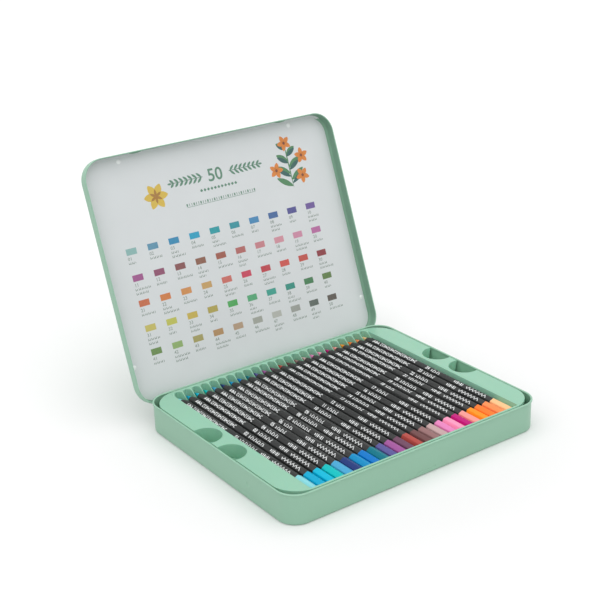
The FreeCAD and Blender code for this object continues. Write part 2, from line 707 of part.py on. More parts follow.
base_tin = make_base_tin()
lid = make_lid()
hinges = make_hinges()
upper_levels = (lower_top, upper_underside, upper_axis, upper_top)
upper_tray = make_tray("upper_tray", *upper_levels, upper_pitch, len(UPPER_ROLLS))
cut_finger_notches(upper_tray)
lower_levels = ("Sizes.tinplate", lower_underside, lower_axis, lower_top)
lower_tray = make_tray("lower_tray", *lower_levels, lower_pitch, len(LOWER_ROLLS))
pencils = make_pencils()
check_objects()
write_parts([base_tin, lid, *hinges, upper_tray, lower_tray, *pencils])
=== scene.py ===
import math

import bmesh
import bpy
from mathutils import Matrix, Vector


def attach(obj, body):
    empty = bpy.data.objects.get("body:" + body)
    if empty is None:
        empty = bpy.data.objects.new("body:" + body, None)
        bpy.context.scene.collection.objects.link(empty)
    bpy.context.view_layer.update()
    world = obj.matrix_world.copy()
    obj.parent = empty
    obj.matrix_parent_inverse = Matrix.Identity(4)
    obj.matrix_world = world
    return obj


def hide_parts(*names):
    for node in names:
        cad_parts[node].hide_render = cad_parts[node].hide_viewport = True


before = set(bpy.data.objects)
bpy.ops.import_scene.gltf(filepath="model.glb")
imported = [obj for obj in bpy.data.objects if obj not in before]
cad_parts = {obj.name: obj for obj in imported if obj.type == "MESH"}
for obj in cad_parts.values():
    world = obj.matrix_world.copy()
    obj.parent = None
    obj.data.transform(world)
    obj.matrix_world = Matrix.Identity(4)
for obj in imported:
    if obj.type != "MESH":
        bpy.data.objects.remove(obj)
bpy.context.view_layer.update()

# --- Camera --------------------------------------------------------------------------------------
# A short telephoto lens on a stand, just under a metre from the tin, above the open lid and to its
# left. It looks down on the tin and is rolled a touch off the horizontal.
camera_data = bpy.data.cameras.new("camera")
camera_data.sensor_width = 36
camera_data.lens = 77.06
camera_data.clip_start = 0.05
camera = bpy.data.objects.new("camera", camera_data)
bpy.context.scene.collection.objects.link(camera)
camera_stand = Matrix.Translation((-0.51787, -0.68846, 0.45618))
heading = Matrix.Rotation(math.radians(-35.295), 4, "Z")
pitch = Matrix.Rotation(math.radians(90 - 22.451), 4, "X")
roll = Matrix.Rotation(math.radians(-1.946), 4, "Z")
camera.matrix_world = camera_stand @ heading @ pitch @ roll
bpy.context.scene.camera = camera

# --- Table and light -----------------------------------------------------------------------------
# A seamless white table top under a large diffuser overhead, with white walls all round the set. The
# board's glow, seen by the camera and in reflections, is painted light. It is weaker near the tin and
# stronger towards the edges, so it paints a soft shadow round the tin and fades to white further out.
white = (1, 1, 1, 1)


def fill(node, inputs):
    """Fill a node's inputs: a socket is linked, and any other value is written in."""
    for name, value in inputs.items():
        if isinstance(value, bpy.types.NodeSocket):
            node.id_data.links.new(value, node.inputs[name])
        else:
            node.inputs[name].default_value = value


def add_node(tree, kind, inputs, **settings):
    """A shader node of this kind, with its settings made and its inputs filled."""
    node = tree.nodes.new(f"ShaderNode{kind}")
    for name, value in settings.items():
        setattr(node, name, value)
    fill(node, inputs)
    return node


def seen_by(tree, *kinds):
    """1 for a ray of any of these kinds, and 0 for the rays that only carry light."""
    rays = add_node(tree, "LightPath", {})
    seen = rays.outputs[kinds[0]]
    for kind in kinds[1:]:
        seen = add_node(tree, "Math", {0: seen, 1: rays.outputs[kind]}, operation="MAXIMUM").outputs[0]
    return seen


bpy.context.scene.view_settings.view_transform = "Standard"
bpy.ops.object.select_all(action="DESELECT")
bpy.ops.mesh.primitive_circle_add(vertices=64, radius=6, fill_type="NGON")
table = bpy.context.object
table.name = "table_top"
white_board = bpy.data.materials.new("white_board")
white_board.use_nodes = True
tree = white_board.node_tree
tree.nodes.clear()
matt = add_node(tree, "BsdfDiffuse", {"Color": (0.85, 0.85, 0.85, 1)})
bounce = add_node(tree, "BsdfDiffuse", {"Color": (0.72, 0.72, 0.72, 1)})
place = add_node(tree, "TexCoord", {}).outputs["Object"]
# Painted shadow: the glow is 0.05 within 0.12 m of the middle and rises to 0.15 beyond 0.27 m, so the
# floor round the tin is painted darker.
reach = add_node(tree, "VectorMath", {0: place}, operation="LENGTH").outputs["Value"]
painted_shadow_fade = {"Value": reach, "From Min": 0.12, "From Max": 0.27, "To Min": 0.05, "To Max": 0.15}
painted_shadow_ramp = add_node(tree, "MapRange", painted_shadow_fade, interpolation_type="SMOOTHSTEP")
painted_glow = add_node(tree, "Emission", {"Color": white, "Strength": painted_shadow_ramp.outputs["Result"]})
board = add_node(tree, "AddShader", {0: matt.outputs[0], 1: painted_glow.outputs[0]})
shown = seen_by(tree, "Is Camera Ray", "Is Glossy Ray")
choose = add_node(tree, "MixShader", {0: shown, 1: bounce.outputs[0], 2: board.outputs[0]})
add_node(tree, "OutputMaterial", {"Surface": choose.outputs[0]})
table.data.materials.append(white_board)

world = bpy.data.worlds.new("white_room")
bpy.context.scene.world = world
world.use_nodes = True
tree = world.node_tree
tree.nodes.clear()
room = add_node(tree, "Background", {"Color": white, "Strength": 0.50})
backdrop = add_node(tree, "Background", {"Color": white, "Strength": 1.0})
shown = seen_by(tree, "Is Camera Ray", "Is Transmission Ray", "Is Glossy Ray")
choose = add_node(tree, "MixShader", {0: shown, 1: room.outputs[0], 2: backdrop.outputs[0]})
add_node(tree, "OutputWorld", {"Surface": choose.outputs[0]})

diffuser_data = bpy.data.lights.new("overhead_diffuser", "SUN")
diffuser_data.energy = 1.95
diffuser_data.angle = math.radians(110)
diffuser = bpy.data.objects.new("overhead_diffuser", diffuser_data)
bpy.context.scene.collection.objects.link(diffuser)
swing = Matrix.Rotation(math.radians(-25), 4, "Z")
tilt = Matrix.Rotation(math.radians(18), 4, "X")
diffuser.matrix_world = swing @ tilt

# --- Tin base ------------------------------------------------------------------------------------
# Drawn from one sheet of 0.4 mm tinplate, lacquered sage green in and out. The wall's top edge is
# rolled outwards into a bead, and a small dimple and a ledge are pressed into the walls.
tin_half_width = 0.112312
tin_half_depth = 0.0925
tin_corner = 0.0147
tin_floor_bend = 0.0019
tin_bead_level = 0.022901
bead_radius = 0.0008
tin_sheet = 0.0004
smooth_below = math.radians(32)


def start_material(name, constants):
    """A node material, with its tree, its shader and the piece's own coordinates."""
    finish = bpy.data.materials.new(name)
    finish.use_nodes = True
    tree = finish.node_tree
    shader = tree.nodes["Principled BSDF"]
    fill(shader, constants)
    return finish, tree, shader, add_node(tree, "TexCoord", {}).outputs["Object"]


def noise(tree, place, scale, detail=2):
    """Noise of this scale, 0 to 1."""
    inputs = {"Vector": place, "Scale": scale, "Detail": detail}
    return add_node(tree, "TexNoise", inputs).outputs["Fac"]


def blend(tree, factor, low, high):
    """A colour between two, by the factor."""
    inputs = {"Factor": factor, "A": low, "B": high}
    return add_node(tree, "Mix", inputs, data_type="RGBA").outputs["Result"]


def spread(tree, value, low, high):
    """The value's 0 to 1 stretched from low to high."""
    return add_node(tree, "MapRange", {"Value": value, "To Min": low, "To Max": high}).outputs["Result"]


def relief(tree, height, strength, distance):
    """A surface normal that follows fine relief."""
    inputs = {"Height": height, "Strength": strength, "Distance": distance}
    return add_node(tree, "Bump", inputs).outputs["Normal"]


def tone(colour, times):
    """The colour made lighter or darker, as the shaders take it."""
    return (*(min(1, part * times) for part in colour), 1)


def stoved_lacquer(name, colour, rough):
    """Stoved lacquer on tinplate: satin, with orange peel and a faint mottle."""
    constants = {"Specular IOR Level": 0.45, "Coat Weight": 0.12, "Coat Roughness": 0.22}
    finish, tree, shader, place = start_material(name, constants)
    mottle = noise(tree, place, 38, 3)
    fill(shader, {
        "Base Color": blend(tree, mottle, tone(colour, 0.97), tone(colour, 1.03)),
        "Roughness": spread(tree, mottle, rough - 0.04, rough + 0.05),
        "Normal": relief(tree, noise(tree, place, 1500), 0.35, 0.00002),
    })
    return finish


def take(*pieces):
    """Select just these pieces. The last one is active."""
    bpy.ops.object.select_all(action="DESELECT")
    for piece in pieces:
        piece.select_set(True)
    bpy.context.view_layer.objects.active = pieces[-1]


def add_block(name, middle, size):
    """A plain block to be shaped further, by its middle."""
    bpy.ops.object.select_all(action="DESELECT")
    bpy.ops.mesh.primitive_cube_add(size=1)
    block = bpy.context.object
    block.name = name
    block.data.transform(Matrix.Translation(middle) @ Matrix.Diagonal((*size, 1)))
    return block


def add_ball(middle, size, around, rings):
    """An egg-shaped punch, by its middle and its half sizes."""
    bpy.ops.object.select_all(action="DESELECT")
    bpy.ops.mesh.primitive_uv_sphere_add(segments=around, ring_count=rings, radius=1)
    ball = bpy.context.object
    ball.data.transform(Matrix.Translation(middle) @ Matrix.Diagonal((*size, 1)))
    return ball


def pick(kind, rule):
    """In edit mode, select just the edges or the faces that the rule takes."""
    bpy.ops.mesh.select_mode(type=kind)
    bpy.ops.mesh.select_all(action="DESELECT")
    mesh = bpy.context.object.data
    shape = bmesh.from_edit_mesh(mesh)
    for part in shape.faces if kind == "FACE" else shape.edges:
        part.select_set(rule(part))
    bmesh.update_edit_mesh(mesh)


def runs_along(edge, axis):
    """Whether the edge has some length along the axis, 0 to 2."""
    return abs(edge.verts[0].co[axis] - edge.verts[1].co[axis]) > 0.001


def lies_at(part, axis, place):
    """Whether the whole edge or face is at this place on the axis."""
    return all(abs(vertex.co[axis] - place) < 0.00002 for vertex in part.verts)


def carve(piece, tool, how="DIFFERENCE"):
    """Cut the piece with the tool, or add or cross them. The tool is used up."""
    step = piece.modifiers.new("carve", "BOOLEAN")
    step.operation = how
    step.solver = "EXACT"
    step.object = tool
    bpy.context.view_layer.objects.active = piece
    bpy.ops.object.modifier_apply(modifier=step.name)
    bpy.data.objects.remove(tool)


def thicken(piece, wall):
    """Give the surface the wall's thickness, inwards."""
    step = piece.modifiers.new("wall", "SOLIDIFY")
    step.thickness = wall
    step.offset = -1
    bpy.context.view_layer.objects.active = piece
    bpy.ops.object.modifier_apply(modifier=step.name)


# The drawn corners, then the tighter turn round the floor. The top is left open.
tin = add_block(
    "tin_base", (0, 0, tin_bead_level / 2), (2 * tin_half_width, 2 * tin_half_depth, tin_bead_level)
)
bpy.ops.object.mode_set(mode="EDIT")
pick("EDGE", lambda edge: runs_along(edge, 2))
bpy.ops.mesh.bevel(offset=tin_corner, segments=20, affect="EDGES")
pick("EDGE", lambda edge: lies_at(edge, 2, 0))
bpy.ops.mesh.bevel(offset=tin_floor_bend, segments=6, affect="EDGES")
pick("FACE", lambda face: face.normal.z > 0.99)
bpy.ops.mesh.delete(type="FACE")

# The rim's edge loop is kept as the path of the rolled bead.
pick("EDGE", lambda edge: edge.is_boundary)
bpy.ops.mesh.duplicate()
bpy.ops.mesh.separate(type="SELECTED")
bpy.ops.object.mode_set(mode="OBJECT")
bead = next(piece for piece in bpy.context.selected_objects if piece != tin)
take(bead)
bpy.ops.object.convert(target="CURVE")
bead.data.bevel_depth = bead_radius
bead.data.bevel_resolution = 5
bpy.ops.object.convert(target="MESH")
bpy.ops.object.mode_set(mode="EDIT")
bpy.ops.mesh.select_all(action="SELECT")
bpy.ops.mesh.remove_doubles(threshold=0.000005)
bpy.ops.mesh.normals_make_consistent(inside=False)
bpy.ops.object.mode_set(mode="OBJECT")
thicken(tin, tin_sheet)

# The pressed marks: a round dimple low on the left wall, and a narrow ledge low on the front.
dimple_middle = (-tin_half_width - 0.0001, -0.043, 0.012)
carve(tin, add_ball(dimple_middle, (0.00042, 0.0021, 0.0021), 48, 32))
ledge = add_block("ledge", (0.0027, -tin_half_depth, 0.0038), (0.0177, 0.0005, 0.0020))
soften = ledge.modifiers.new("soft", "BEVEL")
soften.width = 0.0002
soften.segments = 2
bpy.ops.object.modifier_apply(modifier=soften.name)
carve(tin, ledge)

take(bead, tin)
bpy.ops.object.join()
bpy.ops.object.shade_smooth_by_angle(angle=smooth_below)
tin.data.materials.append(stoved_lacquer("tin_lacquer", (0.308, 0.545, 0.400), 0.42))
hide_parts("base_tin")
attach(tin, "base")

# --- Lid -----------------------------------------------------------------------------------------
# The same sheet, drawn shallower and lacquered to match, with a hem folded inwards at its rim and
# two small dents that snap under the bead. It is shaped closed about the hinge pin, then opened.
lid_half_width = 0.114312
lid_back = 0.0001
lid_front = -0.1889
lid_rim = 0.0001
lid_top = 0.0092
lid_corner = 0.0167
lid_bend = 0.0026
hem_top = lid_rim + 0.0016
hem_sheet = 0.0004
snap_place = 0.067
snap_level = lid_rim + 0.0034
window_place = 0.060
ink_margin = 0.0016
hinge_pin = Matrix.Translation((0, 0.0944, 0.0151006))
open_lid = hinge_pin @ Matrix.Rotation(math.radians(-110.3), 4, "X")
lid_middle = Vector((0, (lid_back + lid_front) / 2, (lid_top + lid_rim) / 2))


def faces_in(face):
    """Whether the face looks towards the middle of the lid."""
    return face.normal.xy.dot((lid_middle - face.calc_center_median()).xy) > 0


lid = add_block("tin_lid", lid_middle, (2 * lid_half_width, lid_back - lid_front, lid_top - lid_rim))
bpy.ops.object.mode_set(mode="EDIT")
pick("EDGE", lambda edge: runs_along(edge, 2))
bpy.ops.mesh.bevel(offset=lid_corner, segments=22, affect="EDGES")
pick("EDGE", lambda edge: lies_at(edge, 2, lid_top))
bpy.ops.mesh.bevel(offset=lid_bend, segments=7, affect="EDGES")
pick("FACE", lambda face: face.normal.z < -0.99)
bpy.ops.mesh.delete(type="FACE")
bpy.ops.object.mode_set(mode="OBJECT")
thicken(lid, tin_sheet)


def is_hem(face):
    """The lowest band of the wall's inner side."""
    return faces_in(face) and abs(face.normal.z) < 0.1 and face.calc_center_median().z < hem_top


def is_rim_corner(edge):
    """A sharp edge round the foot of the wall."""
    return lies_at(edge, 2, lid_rim) and len(edge.link_faces) == 2 and edge.calc_face_angle() > 1.2


# The hem: the inner wall's lowest band is thickened by a second layer of sheet, then rounded.
bpy.ops.object.mode_set(mode="EDIT")
bpy.ops.mesh.select_all(action="SELECT")
bpy.ops.mesh.bisect(plane_co=(0, 0, hem_top), plane_no=(0, 0, 1))
pick("FACE", is_hem)
bpy.ops.mesh.extrude_region_shrink_fatten(
    TRANSFORM_OT_shrink_fatten={"value": hem_sheet, "use_even_offset": True}
)
pick("EDGE", is_rim_corner)
bpy.ops.mesh.bevel(offset=0.00036, segments=4, affect="EDGES")
bpy.ops.object.mode_set(mode="OBJECT")

# The snap dents: a shallow bow pressed in near each end of the front wall, just above the hem. Then
# the windows in the back wall and its hem, where the hinge knuckles turn.
for side in (-1, 1):
    for inset, depth, how in ((0.0003, 0.0014, "UNION"), (-0.0001, 0.0013, "DIFFERENCE")):
        dent_middle = (side * snap_place, lid_front + inset, snap_level)
        carve(lid, add_ball(dent_middle, (0.0058, depth, 0.0015), 40, 20), how)
for side in (-1, 1):
    window_middle = (side * window_place, lid_back, lid_rim + 0.0006)
    carve(lid, add_block("window", window_middle, (0.0306, 0.0030, 0.0020)))


def is_inner_wall(face):
    """The walls' inner side above the hem, the bend and the margin of the flat."""
    level = face.calc_center_median().z
    under = face.normal.z < -0.05 and level > lid_top - 0.0031
    return level > lid_rim + 0.0006 and (under or (faces_in(face) and abs(face.normal.z) < 0.9))


def is_flat(face):
    """The flat of the lid's inner side."""
    return face.normal.z < -0.99 and abs(face.calc_center_median().z - lid_top + tin_sheet) < 0.0002


def is_front_bend(face):
    """The bend at the free edge, with the margin of the flat beside it."""
    at = face.calc_center_median()
    return face.normal.z < -0.42 and at.z > lid_top - 0.0030 and at.y < lid_front + 0.0046


# Inside, the flat of the lid is printed white over the green: short of the walls at the sides and
# the hinge, but running over the bend at the free edge. The inner walls and the inner bend get a
# darker copy of the same green lacquer: painted shade.
lid.data.materials.append(stoved_lacquer("lid_lacquer", (0.308, 0.545, 0.400), 0.42))
lid.data.materials.append(stoved_lacquer("white_ink_on_tinplate", (0.705, 0.735, 0.745), 0.34))
# The inner walls' darker green is painted shade, a shaded copy of the lid's own lacquer.
lid.data.materials.append(stoved_lacquer("lid_inner_lacquer_painted_shade", (0.205, 0.380, 0.270), 0.46))
take(lid)
bpy.ops.object.mode_set(mode="EDIT")
pick("FACE", is_inner_wall)
lid.active_material_index = 2
bpy.ops.object.material_slot_assign()
pick("FACE", is_flat)
bpy.ops.mesh.inset(thickness=ink_margin)
lid.active_material_index = 1
bpy.ops.object.material_slot_assign()
pick("FACE", is_front_bend)
bpy.ops.object.material_slot_assign()
bpy.ops.object.mode_set(mode="OBJECT")
bpy.ops.object.shade_smooth_by_angle(angle=smooth_below)
lid.data.transform(open_lid)
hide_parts("lid")
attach(lid, "lid")

# --- Bumper dots ---------------------------------------------------------------------------------
# Milky soft dots stuck inside the lid: two by the free edge and one by each side wall. They keep
# the shut lid off the tray. Each is a cast dome with a flat, glued back.
dot_radius = 0.0019
dot_cut = 0.0005
dot_flatness = 0.25
on_panel = open_lid @ Matrix.Translation((0, 0, 0.0088)) @ Matrix.Rotation(math.pi, 4, "X")


def place_copy(master, name, stand):
    """A copy of the master with a mesh of its own, set down at its stand."""
    piece = bpy.data.objects.new(name, master.data.copy())
    bpy.context.collection.objects.link(piece)
    piece.data.transform(stand)
    return piece


first_dot = add_ball((0, 0, 0), (dot_radius, dot_radius, dot_radius), 32, 16)
bpy.ops.object.mode_set(mode="EDIT")
bpy.ops.mesh.select_all(action="SELECT")
bpy.ops.mesh.bisect(plane_co=(0, 0, dot_cut), plane_no=(0, 0, 1), clear_inner=True, use_fill=True)
bpy.ops.mesh.select_all(action="SELECT")
bpy.ops.transform.resize(value=(1, 1, dot_flatness), center_override=(0, 0, dot_cut))
bpy.ops.transform.translate(value=(0, 0, -dot_cut))
pick("EDGE", lambda edge: all(vertex.co.z < 0.00001 for vertex in edge.verts))
bpy.ops.mesh.bevel(offset=0.00006, segments=2, affect="EDGES")
bpy.ops.object.mode_set(mode="OBJECT")
bpy.ops.object.shade_smooth_by_angle(angle=smooth_below)

gel_coat = {"Coat Weight": 0.8, "Coat Roughness": 0.06}
milky_gel, tree, shader, place = start_material("milky_gel", gel_coat)
haze = noise(tree, place, 900)
fill(shader, {
    "Base Color": blend(tree, haze, (0.86, 0.89, 0.89, 1), (0.94, 0.96, 0.96, 1)),
    "Roughness": spread(tree, haze, 0.08, 0.22),
})
first_dot.data.materials.append(milky_gel)
for where, x, v in (
    ("left_front", -0.0799, 0.1838), ("right_front", 0.0775, 0.1838),
    ("left_side", -0.1092, 0.0306), ("right_side", 0.1092, 0.0306),
):
    dot = place_copy(first_dot, f"bumper_dot_{where}", on_panel @ Matrix.Translation((x, v, 0.00002)))
    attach(dot, "lid")
bpy.data.objects.remove(first_dot)

# --- Lid print -----------------------------------------------------------------------------------
# Screen-printed on the white panel inside the lid: a chart of the fifty colours with their numbers,
# a green heading, and two small plant pictures beside it. All of it is flat ink.
ink_height = 0.00003


def linear_colour(code):
    """A colour written as on screen, in the linear light that the shaders take."""
    parts = [int(code[at:at + 2], 16) / 255 for at in (0, 2, 4)]
    return tuple(((c + 0.055) / 1.055) ** 2.4 if c > 0.04045 else c / 12.92 for c in parts)


def panel_ink(name, colour):
    """Matt screen ink, a little uneven where it went on thin. With no colour, each swatch's own."""
    ink, tree, shader, place = start_material(name, {"Specular IOR Level": 0.35, "Roughness": 0.5})
    thin = spread(tree, noise(tree, place, 700, 3), 0.0, 0.10)
    if colour:
        full = (*colour, 1)
    else:
        full = add_node(tree, "Attribute", {}, attribute_name="swatch").outputs["Color"]
    fill(shader, {"Base Color": blend(tree, thin, full, (0.72, 0.75, 0.76, 1))})
    return ink


def start_ink(name):
    """An empty mesh, open for editing, that printed shapes are added to."""
    bpy.ops.object.select_all(action="DESELECT")
    bpy.ops.mesh.primitive_plane_add(size=1)
    print_mesh = bpy.context.object
    print_mesh.name = name
    bpy.ops.object.mode_set(mode="EDIT")
    bpy.ops.mesh.select_all(action="SELECT")
    bpy.ops.mesh.delete(type="VERT")
    return print_mesh


def printed_text(text, size, bold, smoothness, centred, stand):
    """Figures of ink as a mesh, laid out flat and moved to their stand."""
    bpy.ops.object.select_all(action="DESELECT")
    bpy.ops.object.text_add()
    figures = bpy.context.object
    figures.data.body = text
    figures.data.size = size
    figures.data.offset = bold
    figures.data.resolution_u = smoothness
    if centred:
        figures.data.align_x = "CENTER"
    bpy.ops.object.convert(target="MESH")
    figures.data.transform(stand)
    figures.data.materials.clear()
    return figures


def printed_bar(x, v, wide, tall, turn=0, level=ink_height):
    """A rectangle of ink, by its middle, added to the mesh being edited."""
    spot = Vector((x, v, level))
    bpy.ops.mesh.select_all(action="DESELECT")
    bpy.ops.mesh.primitive_plane_add(size=1, location=spot)
    bpy.ops.transform.resize(value=(wide, tall, 1), center_override=spot)
    if turn:
        bpy.ops.transform.rotate(value=math.radians(turn), orient_axis="Z", center_override=spot)


def printed_leaf(x, v, long, wide, turn, lift=0.0):
    """A pointed oval of ink that grows from (x, v) at the given angle."""
    spot = Vector((x, v, ink_height + lift))
    bpy.ops.mesh.select_all(action="DESELECT")
    bpy.ops.mesh.primitive_circle_add(vertices=16, radius=0.5, fill_type="NGON", location=spot)
    shape = bmesh.from_edit_mesh(bpy.context.object.data)
    for vertex in shape.verts:
        if vertex.select:
            along = (vertex.co.x - x) * 2
            vertex.co.y = v + (vertex.co.y - v) * (1 - 0.45 * along * along)
            vertex.co.x += 0.5
    bmesh.update_edit_mesh(bpy.context.object.data)
    bpy.ops.transform.resize(value=(long, wide, 1), center_override=spot)
    bpy.ops.transform.rotate(value=math.radians(-turn), orient_axis="Z", center_override=spot)


def finish_ink(print_mesh, ink):
    """Close the mesh, lay it on the panel and let it ride with the lid."""
    bpy.ops.object.mode_set(mode="OBJECT")
    print_mesh.data.transform(on_panel)
    print_mesh.data.materials.append(ink)
    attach(print_mesh, "lid")


# The chart: five rows of ten, each row shaded through a short run of colours.
chart_rows = (0.1159, 0.0955, 0.0759, 0.0564, 0.0378)
chart_places = [
    (row, column, -0.0877 + 0.01866 * column, v)
    for row, v in enumerate(chart_rows) for column in range(10)
]
chart_runs = (
    ("8CB8B4", "2F7CAC", "18A0C4", "169890", "4088B8", "3C4C8C", "6C5498"),
    ("A0528C", "844450", "8C5C48", "A85444", "C88088", "D898A8", "B868A0"),
    ("C86A40", "D8843C", "C8A060", "D03C60", "C03844", "D85848", "8C3038"),
    ("C8BC60", "C0C450", "D0A048", "48A850", "50A878", "189C98", "307C50", "5C7C40"),
    ("688C48", "98B870", "B08444", "B89878", "A0A8A0", "C0C0B8", "586860", "585048"),
)
swatch_tones = []
chart = start_ink("lid_chart_swatches")
for row, column, x, v in chart_places:
    printed_bar(x, v, 0.0090, 0.0049)
    run = chart_runs[row]
    reach = column / 9 * (len(run) - 1)
    here = min(int(reach), len(run) - 2)
    low, high = linear_colour(run[here]), linear_colour(run[here + 1])
    swatch_tones.append([a + (b - a) * (reach - here) for a, b in zip(low, high)])
bpy.ops.object.mode_set(mode="OBJECT")
tones = chart.data.color_attributes.new("swatch", "FLOAT_COLOR", "CORNER")
for face, tone_of_face in zip(chart.data.polygons, swatch_tones):
    for corner in face.loop_indices:
        tones.data[corner].color = (*tone_of_face, 1)
finish_ink(chart, panel_ink("chart_inks", None))

# Under each swatch its number, and one or two lines of short strokes.
caption_ink = panel_ink("caption_grey_green", (0.17, 0.235, 0.195))
captions = start_ink("lid_chart_strokes")
for row, column, x, v in chart_places:
    for line in range(1 + (row * 3 + column * 7) % 5 // 3):
        for step in range(5 + (row * 5 + column * 3 + line * 4) % 6):
            left = x + step * 0.0014
            low = v - line * 0.0032
            tall = 0.0019 if (step * 3 + column + row) % 4 else 0.0013
            printed_bar(left - 0.0042, low - 0.0088, 0.00040, tall)
            if step % 2:
                printed_bar(left - 0.0049, low - 0.0091, 0.0010, 0.00034)
finish_ink(captions, caption_ink)
numbers = []
for row, column, x, v in chart_places:
    stand = Matrix.Translation((x - 0.0044, v - 0.0065, ink_height))
    figures = f"{row * 10 + column + 1:02d}"
    numbers.append(printed_text(figures, size=0.0038, bold=0, smoothness=2, centred=False, stand=stand))
take(*numbers)
bpy.ops.object.join()
numbers[-1].name = "lid_chart_numbers"
finish_ink(numbers[-1], caption_ink)

# The heading: a large 50 between two sprays of leaves, a row of lozenges, and a ruled line.
heading_stand = Matrix.Translation((-0.0008, 0.1540, ink_height))
heading = printed_text("50", size=0.0140, bold=0.0002, smoothness=4, centred=True, stand=heading_stand)
heading.name = "lid_heading"
spray_level = 0.1588
bpy.ops.object.mode_set(mode="EDIT")
for side in (-1, 1):
    for step in range(7):
        x = side * (0.0132 + step * 0.0042)
        for lean in (-42, 42):
            turn = lean if side > 0 else 180 - lean
            printed_leaf(x, spray_level, 0.0058 - 0.0002 * step, 0.0019, turn)
    printed_bar(side * 0.0268, spray_level, 0.0292, 0.0005)
    printed_leaf(side * 0.0405, spray_level, 0.0036, 0.0016, 0 if side > 0 else 180)
for step in range(-5, 6):
    printed_bar(step * 0.0032, 0.1484, 0.0019, 0.0019, 45)
for step in range(-15, 16):
    printed_bar(step * 0.0021, 0.1397, 0.00050 if step % 3 else 0.0012, 0.0021)
printed_bar(0, 0.1380, 0.0640, 0.00030)
finish_ink(heading, panel_ink("heading_green", (0.105, 0.245, 0.165)))

# The pictures: a round blossom on the left, a tall spray of blossom and leaves on the right. Each
# ink is a list of leaves: where it grows, its length and width, its angle and its lift.
lone_x, lone_v = -0.0560, 0.1520
spray_x = 0.0690
spray_blossoms = (
    (0.0560, 0.1500, 0), (0.0830, 0.1580, 20), (spray_x, 0.1705, 40), (0.0800, 0.1420, 50),
)
picture_inks = {
    "blossom_yellow": ("D8B848", [(lone_x, lone_v, 0.0105, 0.0062, 60 * step) for step in range(6)]),
    "blossom_ochre": ("A87830", [
        *((lone_x, lone_v, 0.0055, 0.0022, 60 * step + 30, 0.00001) for step in range(6)),
        (lone_x - 0.0017, lone_v, 0.0034, 0.0036, 0, 0.00002),
    ]),
    "leaf_green": ("4C8458", [
        *((spray_x, 0.1350 + 0.0052 * step, 0.0165 - 0.0012 * step, 0.0048, (148, 32)[step % 2])
          for step in range(7)),
        (spray_x, 0.1330, 0.0400, 0.0011, 90, 0.00001),
    ]),
    "leaf_teal": ("2C5C58", [
        (spray_x, 0.1372 + 0.0056 * step, 0.0150 - 0.0012 * step, 0.0036, (32, 148)[step % 2], 0.00001)
        for step in range(6)
    ]),
    "petal_orange": ("DC8434", [
        (x, v, 0.0066, 0.0040, 72 * step + lean, 0.00002)
        for x, v, lean in spray_blossoms for step in range(5)
    ]),
    "petal_heart": ("7C4024", [
        (x - 0.0012, v, 0.0024, 0.0026, 0, 0.00003) for x, v, lean in spray_blossoms
    ]),
}
for name, (code, leaves) in picture_inks.items():
    picture = start_ink(f"lid_picture_{name}")
    for leaf in leaves:
        printed_leaf(*leaf)
    finish_ink(picture, panel_ink(name, linear_colour(code)))

# --- Hinges --------------------------------------------------------------------------------------
# Two pinned hinges of bright tinned strip: leaves spot-welded to the back wall and inside the lid,
# their knuckles curled round a drawn wire pin.
strip_constants = {"Metallic": 1.0, "Base Color": (0.62, 0.63, 0.62, 1)}
hinge_steel, tree, shader, place = start_material("tinned_strip", strip_constants)


def stretch(tree, place, scale):
    """The coordinates stretched, so that noise on them runs in streaks."""
    return add_node(tree, "Mapping", {"Vector": place, "Scale": scale}).outputs["Vector"]


rolling_marks = noise(tree, stretch(tree, place, (0.05, 1, 1)), 500)
fill(shader, {"Roughness": spread(tree, rolling_marks, 0.26, 0.44)})
for name in ("base_hinges", "lid_hinges", "hinge_pins"):
    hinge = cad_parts[name]
    hinge.data.materials.clear()
    hinge.data.materials.append(hinge_steel)

# --- Trays ---------------------------------------------------------------------------------------
# Two trays moulded in thin mint-green plastic, one above the other. Each has a trough for every
# pencil that runs on, up a sloped back, into a round-ended pocket for the pencil's point. The upper
# tray's side rails have a pair of round finger notches each.
tray_half_width = 0.109412
tray_front = -0.0908
tray_back = 0.0906
tray_corner = 0.021
tray_wall = 0.0007
bay_front = -0.0890
bay_back = 0.0882
bay_lean = 0.13
slope_foot = 0.0772
slope_head = 0.0855
nominal_pitch = 0.0077
trough_radius = 0.00385
pocket_radius = 0.0033
pocket_turn = 0.0846
notch_radius = 0.01167
notch_x = 0.10791
notch_y = 0.0155
lip = 0.0004

# How far out and how high each level of a flared cutter stands, from the tray's top at its lip.
flare = [(0.0, -0.0150)]
for step in range(6):
    turn = math.radians(18 * step)
    flare.append((lip * (1 - math.cos(turn)), lip * (math.sin(turn) - 1)))
flare.append((lip, 0.004))


def mint_plastic(name, colour):
    """Moulded polystyrene: eggshell gloss, with a fine tool grain."""
    constants = {"Specular IOR Level": 0.5, "Subsurface Weight": 0.06, "Subsurface Scale": 0.002}
    finish, tree, shader, place = start_material(name, constants)
    grain = noise(tree, place, 2400)
    fill(shader, {
        "Base Color": blend(tree, noise(tree, place, 22), tone(colour, 0.97), tone(colour, 1.03)),
        "Roughness": spread(tree, grain, 0.30, 0.42),
        "Normal": relief(tree, grain, 0.25, 0.00002),
    })
    return finish


